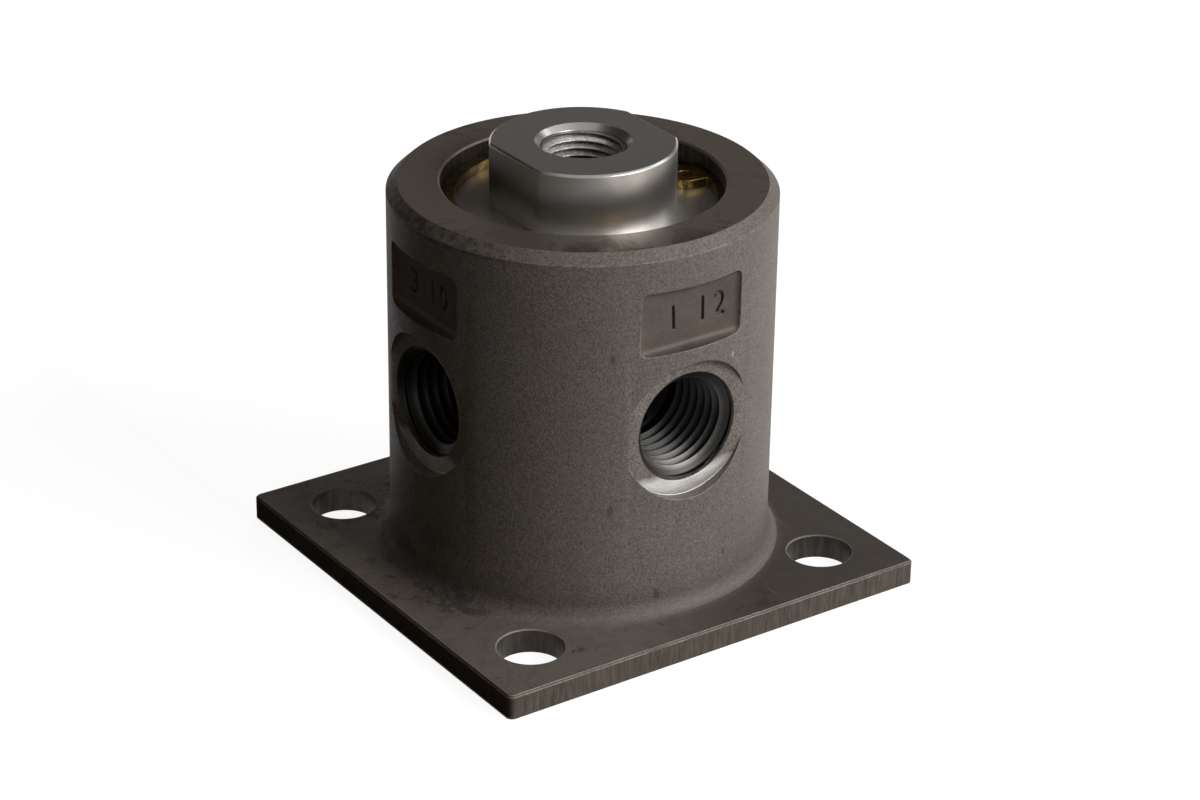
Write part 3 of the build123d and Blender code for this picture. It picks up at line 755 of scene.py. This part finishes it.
class VALVE_OT_casting(bpy.types.Operator):
    """Make the body's casting with its stamped port numbers and its finishes"""
    bl_idname = "valve.casting"
    bl_label = "Casting"

    def execute(self, context):
        colours = settings("valve_colours")
        sizes = settings("valve_stamp")
        casting = merged_copy("valve_body", "casting")
        numbers = {
            "normally_closed_inlet": (("1", -0.0023, -0.0003, 3), ("1", 0.0019, -0.0001, 1), ("2", 0.0043, 0.0, -2)),
            "normally_open_inlet": (("3", -0.0027, -0.0002, -2), ("1", 0.0013, -0.0002, 3), ("0", 0.0037, -0.0001, 1)),
            "outlet": (("2", 0.0001, 0.0, 2),),
        }
        for mount, digits in numbers.items():
            cutter = stamped_number(mount, digits, sizes)
            apply_modifier(casting, "Stamp", "BOOLEAN", operation="DIFFERENCE", object=cutter, solver="EXACT")
            bpy.data.objects.remove(cutter)
        smooth(casting)
        dress(
            casting, "housing", "cast_aluminium",
            blasted_casting("blasted casting", colours), machined_face("turned top face", colours),
            drilled_metal("drilled holes", colours), rolled_flange("flange face", colours),
            sheared_edge("sheared flange edge", colours), cast_recess("label recess", colours),
            bright_spotface("spotface", colours),
        )
        for face in casting.data.polygons:
            face.material_index = casting_zone(face.center, face.normal)
        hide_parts("valve_body")
        return {"FINISHED"}


class VALVE_OT_side_threads(bpy.types.Operator):
    """Cut the pipe threads of the three side ports"""
    bl_idname = "valve.side_threads"
    bl_label = "Side port threads"

    def execute(self, context):
        threads = settings("valve_threads")
        metal = thread_metal("tapped aluminium", settings("valve_colours").tapped, 0.34, side_port_reach)
        for mount in PORTS:
            length = MOUNTS[mount]["dims"]["length_mm"] / 1000
            thread_piece(f"{mount}_thread", mount, threads.side_pitch, threads.side_depth, length, "housing", "cast_aluminium", metal)
        return {"FINISHED"}


class VALVE_OT_pilot_thread(bpy.types.Operator):
    """Cut the pipe thread of the pilot port"""
    bl_idname = "valve.pilot_thread"
    bl_label = "Pilot port thread"

    def execute(self, context):
        threads = settings("valve_threads")
        metal = thread_metal("tapped plated steel", settings("valve_colours").zinc, 0.18, pilot_port_reach)
        length = MOUNTS["pilot_port"]["dims"]["length_mm"] / 1000
        thread_piece("pilot_thread", "pilot_port", threads.pilot_pitch, threads.pilot_depth, length, "housing", "zinc_plated_steel", metal)
        return {"FINISHED"}


class VALVE_OT_turned_parts(bpy.types.Operator):
    """Finish the end cap, its retaining ring and the nut"""
    bl_idname = "valve.turned_parts"
    bl_label = "End cap and ring"

    def execute(self, context):
        colours = settings("valve_colours")
        zinc = zinc_plate("zinc plated steel", colours)
        gold = yellow_plate("yellow zinc plate", colours)
        for node, name, slot, metal, body in (
            ("end_cap", "pilot_cap", "zinc_plated_steel", zinc, "housing"),
            ("end_cap_retaining_ring", "snap_ring", "yellow_zinc_steel", gold, "housing"),
        ):
            piece = merged_copy(node, name)
            smooth(piece, 30)
            dress(piece, body, slot, metal)
            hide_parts(node)
        NODES["piston_nut"].data.materials.clear()
        NODES["piston_nut"].data.materials.append(zinc)
        return {"FINISHED"}


class VALVE_OT_inner_parts(bpy.types.Operator):
    """Finish the spool, piston, seals, spacers, spring and breather"""
    bl_idname = "valve.inner_parts"
    bl_label = "Inner parts"

    def execute(self, context):
        colours = settings("valve_colours")
        rubber = plain_finish("nitrile rubber", colours.rubber, 0, 0.42, 0.0006, 0.00002)
        brass = plain_finish("turned brass", colours.brass, 0.95, 0.24, 0.0005, 0.00001)
        anodised = plain_finish("hard anodised spool", colours.anodised, 0.55, 0.36, 0.0003, 0.00001)
        machined = plain_finish("turned piston", colours.zinc, 0.9, 0.30, 0.0004, 0.00001)
        wire = plain_finish("spring wire", colours.wire, 0.9, 0.30, 0.0003, 0.00001)
        bronze = plain_finish("sintered bronze", colours.bronze, 0.8, 0.50, 0.00045, 0.00012, spread=0.6)
        dressing = {
            "end_cap_seal": rubber, "piston_seal": rubber, "spool": anodised, "piston": machined, "piston_washer": brass,
            "guide_bush": brass, "guide_clip": wire, "breather_filter": bronze,
            "closed_inlet_spacer": brass, "outlet_spacer": brass, "open_inlet_spacer": brass,
        }
        dressing.update({f"spool_seal_{number}": rubber for number in (1, 2, 3, 4)})
        for node, material in dressing.items():
            NODES[node].data.materials.clear()
            NODES[node].data.materials.append(material)
        low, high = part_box("return_spring")
        stroke = next(joint for joint in frame["joints"] if joint["name"] == "spool_slide")["range_m"][1]
        spring = merged_copy("return_spring", "coil_spring")
        smooth(spring, 40)
        dress(spring, "housing", "spring_steel", wire)
        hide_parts("return_spring")
        1 - stroke / (high.z - low.z)
        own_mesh(spring)
        return {"FINISHED"}


def area_light(name, place, target, size, power, shade, size_y=None):
    """A soft rectangular lamp that points at a target."""
    deselect()
    bpy.ops.object.light_add(type="AREA", location=place)
    lamp = bpy.context.object
    lamp.name = name
    lamp.data.shape = "RECTANGLE"
    lamp.data.size = size
    lamp.data.size_y = size_y or size
    lamp.data.energy = power
    lamp.data.color = shade
    lamp.visible_camera = False
    lamp.rotation_euler = (Vector(target) - Vector(place)).to_track_quat("-Z", "Y").to_euler()
    return lamp


def dark_panel(name, place, target, size, stage):
    """A panel of dark cloth that faces the valve, seen only in its reflections."""
    deselect()
    bpy.ops.mesh.primitive_plane_add(size=1)
    panel = bpy.context.object
    panel.name = name
    facing = (Vector(target) - Vector(place)).normalized()
    sideways = Vector((1, 0, 0)) if facing.z > 0.9 else Vector((0, 0, 1)).cross(facing)
    sideways.normalize()
    turn = Matrix((sideways, facing.cross(sideways), facing)).transposed().to_4x4()
    panel.data.transform(Matrix.Translation(place) @ turn @ Matrix.Diagonal((*size, 1, 1)))
    cloth = Finish(f"{name} cloth", Roughness=0.9)
    weave = cloth.noise(0.01, detail=2)
    tone = cloth.mix(weave * 0.3, tuple(stage.flag), tuple(c * 0.8 for c in stage.flag))
    panel.data.materials.append(cloth.finish(**{"Base Color": tone}))
    panel.visible_camera = False
    panel.visible_shadow = False


def view_axes(stage):
    """Sideways and forward directions of the photograph on the floor."""
    forward = Vector((math.sin(stage.turn), math.cos(stage.turn), 0))
    return Vector((forward.y, -forward.x, 0)), forward


def studio_camera(stage):
    """Camera at the photograph's place, with its small turn, tilt and roll."""
    deselect()
    side, ahead = view_axes(stage)
    flat = Vector((math.sin(stage.turn + stage.aside), math.cos(stage.turn + stage.aside), 0))
    forward = flat * math.cos(stage.tilt) + Vector((0, 0, math.sin(stage.tilt)))
    right = forward.cross(Vector((0, 0, 1))).normalized()
    up = right.cross(forward)
    leaning_right = right * math.cos(stage.roll) + up * math.sin(stage.roll)
    leaning_up = up * math.cos(stage.roll) - right * math.sin(stage.roll)
    bpy.ops.object.camera_add()
    camera = bpy.context.object
    camera.name = "photo_camera"
    camera.data.lens = stage.lens
    camera.data.sensor_width = 36
    camera.data.clip_start = 0.01
    camera.data.dof.use_dof = False
    turn = Matrix((leaning_right, leaning_up, -forward)).transposed().to_4x4()
    camera.matrix_world = Matrix.Translation(-ahead * stage.distance + Vector((0, 0, stage.height))) @ turn
    bpy.context.scene.camera = camera


class VALVE_OT_stage(bpy.types.Operator):
    """Set the pale floor, the studio light and the camera"""
    bl_idname = "valve.stage"
    bl_label = "Stage"

    def execute(self, context):
        stage = settings("valve_stage")
        studio_camera(stage)
        side, ahead = view_axes(stage)
        up = Vector((0, 0, 1))
        target = Vector((0, 0, 0.03))
        deselect()
        bpy.ops.mesh.primitive_plane_add(size=8)
        floor = bpy.context.object
        floor.name = "studio_floor"
        paint = Finish("pale floor", Roughness=0.8)
        sheen = paint.noise(0.05, detail=2)
        tone = paint.mix(sheen * 0.1, tuple(stage.floor), tuple(c * 0.97 for c in stage.floor))
        paths = [paint.node("ShaderNodeLightPath", output=f"Is {kind} Ray") for kind in ("Camera", "Glossy", "Transmission")]
        seen = (paths[0] + paths[1] + paths[2]).clamped()
        glow = (stage.floor_glow,) * 3
        paint.feed(paint.shader, {"Emission Color": paint.mix(seen, (0, 0, 0), glow), "Emission Strength": 1.0})
        floor.data.materials.append(paint.finish(**{"Base Color": tone}))
        dark_panel("low_flag", Vector((-0.1800, 0.03, 0.0002)), Vector((-0.1800, 0.03, 1)), (0.30, 0.42), stage)
        dark_panel("left_flag", target - side * 0.34 - ahead * 0.02 + up * 0.22, target, (0.70, 0.50), stage)
        dark_panel("back_flag", target + ahead * 0.50 + up * 0.42, target, (1.30, 0.62), stage)
        area_light("key_light", target + side * 0.62 - ahead * 0.36 + up * 0.44, target, 0.56, stage.key_power, (1.0, 0.975, 0.955), 0.30)
        back = area_light("back_light", target + ahead * 0.75 + up * 0.12, target, 0.40, stage.back_power, (1.0, 0.97, 0.94))
        back.visible_glossy = False
        area_light("side_light", target + side * 0.78 + ahead * 0.16 + up * 0.40, target, 0.60, stage.side_power, (1.0, 0.98, 0.97), 0.36)
        area_light("warm_fill", target - side * 0.75 - ahead * 0.35 + up * 0.30, target, 0.40, stage.fill_power, (1.0, 0.74, 0.50))
        world = bpy.data.worlds.new("studio")
        bpy.context.scene.world = world
        world.use_nodes = True
        tree = world.node_tree
        path = tree.nodes.new("ShaderNodeLightPath")
        white = path.outputs["Is Camera Ray"]
        for kind, share in (("Is Glossy Ray", stage.mirror_share), ("Is Transmission Ray", 1.0)):
            either = tree.nodes.new("ShaderNodeMath")
            either.operation = "MULTIPLY_ADD"
            either.inputs[1].default_value = share
            tree.links.new(path.outputs[kind], either.inputs[0])
            tree.links.new(white, either.inputs[2])
            white = either.outputs[0]
        shade = tree.nodes.new("ShaderNodeMix")
        shade.data_type = "RGBA"
        shade.inputs[6].default_value = (*stage.walls, 1)
        shade.inputs[7].default_value = (1, 1, 1, 1)
        tree.links.new(white, shade.inputs[0])
        tree.links.new(shade.outputs[2], tree.nodes["Background"].inputs["Color"])
        bpy.context.scene.view_settings.view_transform = "Standard"
        return {"FINISHED"}


OPERATORS = (
    VALVE_OT_casting, VALVE_OT_side_threads, VALVE_OT_pilot_thread, VALVE_OT_turned_parts, VALVE_OT_inner_parts, VALVE_OT_stage,
)


class VALVE_PT_panel(bpy.types.Panel):
    """Lists the valve's pieces in the order in which they are made"""
    bl_idname = "VALVE_PT_panel"
    bl_label = "Pilot Valve"
    bl_space_type = "VIEW_3D"
    bl_region_type = "UI"
    bl_category = "Pilot Valve"

    def draw(self, context):
        for operator in OPERATORS:
            self.layout.operator(operator.bl_idname)
        for name, group in GROUPS.items():
            box = self.layout.box()
            for key in group.__annotations__:
                box.prop(getattr(context.scene, name), key)


def register():
    for name, group in GROUPS.items():
        bpy.utils.register_class(group)
        setattr(bpy.types.Scene, name, bpy.props.PointerProperty(type=group))
    for kind in (*OPERATORS, VALVE_PT_panel):
        bpy.utils.register_class(kind)


def unregister():
    for kind in (VALVE_PT_panel, *reversed(OPERATORS)):
        bpy.utils.unregister_class(kind)
    for name, group in reversed(GROUPS.items()):
        delattr(bpy.types.Scene, name)
        bpy.utils.unregister_class(group)


def main():
    register()
    bpy.ops.valve.casting()
    bpy.ops.valve.side_threads()
    bpy.ops.valve.pilot_thread()
    bpy.ops.valve.turned_parts()
    bpy.ops.valve.inner_parts()
    bpy.ops.valve.stage()


if __name__ == "__main__":
    main()
